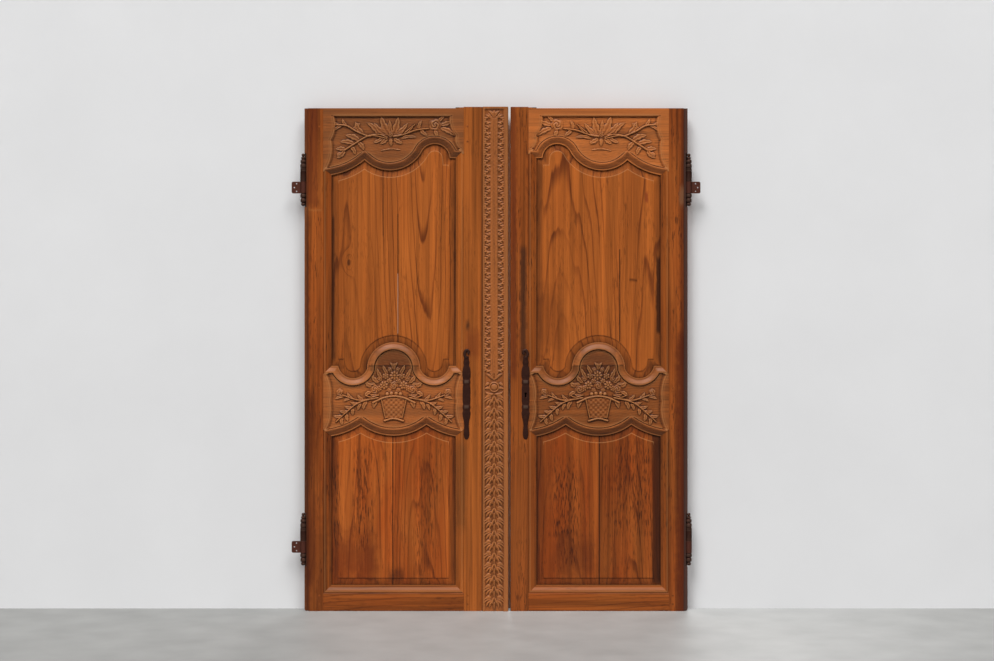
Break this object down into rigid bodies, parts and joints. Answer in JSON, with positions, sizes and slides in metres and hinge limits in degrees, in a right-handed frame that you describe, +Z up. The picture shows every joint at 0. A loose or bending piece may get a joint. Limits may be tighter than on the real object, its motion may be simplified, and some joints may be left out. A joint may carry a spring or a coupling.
{
  "type": "carved double door",
  "caption": "Pair of carved pine cupboard doors with fielded panels, scalloped rails, a carved mullion, iron lift-off hinges, key plates, a rim lock and bolts.",
  "frame": {"origin": "bottom centre of the closed pair, in the middle of its depth", "axes": "+Z up, +X along the width to the right leaf, the carved front faces -Y"},
  "size_m": [1.5038, 0.058, 1.853],
  "materials": {
    "frame_pine": "waxed, worn",
    "carved_pine": "waxed, worn",
    "panel_pine": "waxed, worn",
    "peg_wood": "waxed, dark end grain",
    "iron": "aged, dull",
    "plate_iron": "rusty brown"
  },
  "bodies": {
    "case_side": {"upper_left_hinge_plate": "plate_iron", "upper_left_hinge_pin": "iron", "lower_left_hinge_plate": "plate_iron", "lower_left_hinge_pin": "iron", "upper_right_hinge_plate": "plate_iron", "upper_right_hinge_pin": "iron"},
    "left_leaf": {"left_hinge_stile": "frame_pine", "left_meeting_stile": "frame_pine", "left_top_rail": "carved_pine", "left_middle_rail": "carved_pine", "left_rail_crest": "carved_pine", "left_bottom_rail": "frame_pine", "left_upper_board_outer": "panel_pine", "left_upper_board_inner": "panel_pine", "left_lower_board_outer": "panel_pine", "left_lower_board_inner": "panel_pine", "left_pegs": "peg_wood", "left_escutcheon": "iron", "left_escutcheon_nails": "iron", "mullion": "carved_pine", "upper_left_hinge_barrel": "iron", "lower_left_hinge_barrel": "iron", "keeper": "iron", "keeper_nails": "iron", "top_bolt_plate": "iron", "top_bolt_nails": "iron", "bottom_bolt_plate": "iron", "bottom_bolt_nails": "iron"},
    "right_leaf": {"right_hinge_stile": "frame_pine", "right_meeting_stile": "frame_pine", "right_top_rail": "carved_pine", "right_middle_rail": "carved_pine", "right_rail_crest": "carved_pine", "right_bottom_rail": "frame_pine", "right_upper_board_outer": "panel_pine", "right_upper_board_inner": "panel_pine", "right_lower_board_outer": "panel_pine", "right_lower_board_inner": "panel_pine", "right_pegs": "peg_wood", "right_escutcheon": "iron", "right_escutcheon_nails": "iron", "upper_right_hinge_barrel": "iron", "lower_right_hinge_barrel": "iron", "lock_case": "iron", "lock_nails": "iron"},
    "lower_right_plate": {"lower_right_hinge_plate": "plate_iron", "lower_right_hinge_pin": "iron"},
    "lock_bolt": {"lock_bolt": "iron"},
    "top_bolt": {"top_bolt": "iron"},
    "bottom_bolt": {"bottom_bolt": "iron"}
  },
  "joints": [
    {"name": "left_leaf_swing", "type": "hinge", "parent": "case_side", "child": "left_leaf", "pos_m": [-0.7089, -0.014, 0], "axis": [0, 0, -1], "range_deg": [0, 140]},
    {"name": "right_leaf_swing", "type": "hinge", "parent": "case_side", "child": "right_leaf", "pos_m": [0.7089, -0.014, 0], "axis": [0, 0, 1], "range_deg": [0, 140]},
    {"name": "lower_right_plate_swivel", "type": "hinge", "parent": "right_leaf", "child": "lower_right_plate", "pos_m": [0.7089, -0.014, 0], "axis": [0, 0, -1], "range_deg": [0, 90]},
    {"name": "lock_bolt_slide", "type": "slide", "parent": "right_leaf", "child": "lock_bolt", "axis": [-1, 0, 0], "range_m": [0, 0.02]},
    {"name": "top_bolt_slide", "type": "slide", "parent": "left_leaf", "child": "top_bolt", "axis": [0, 0, 1], "range_m": [0, 0.018]},
    {"name": "bottom_bolt_slide", "type": "slide", "parent": "left_leaf", "child": "bottom_bolt", "axis": [0, 0, -1], "range_m": [0, 0.018]}
  ]
}
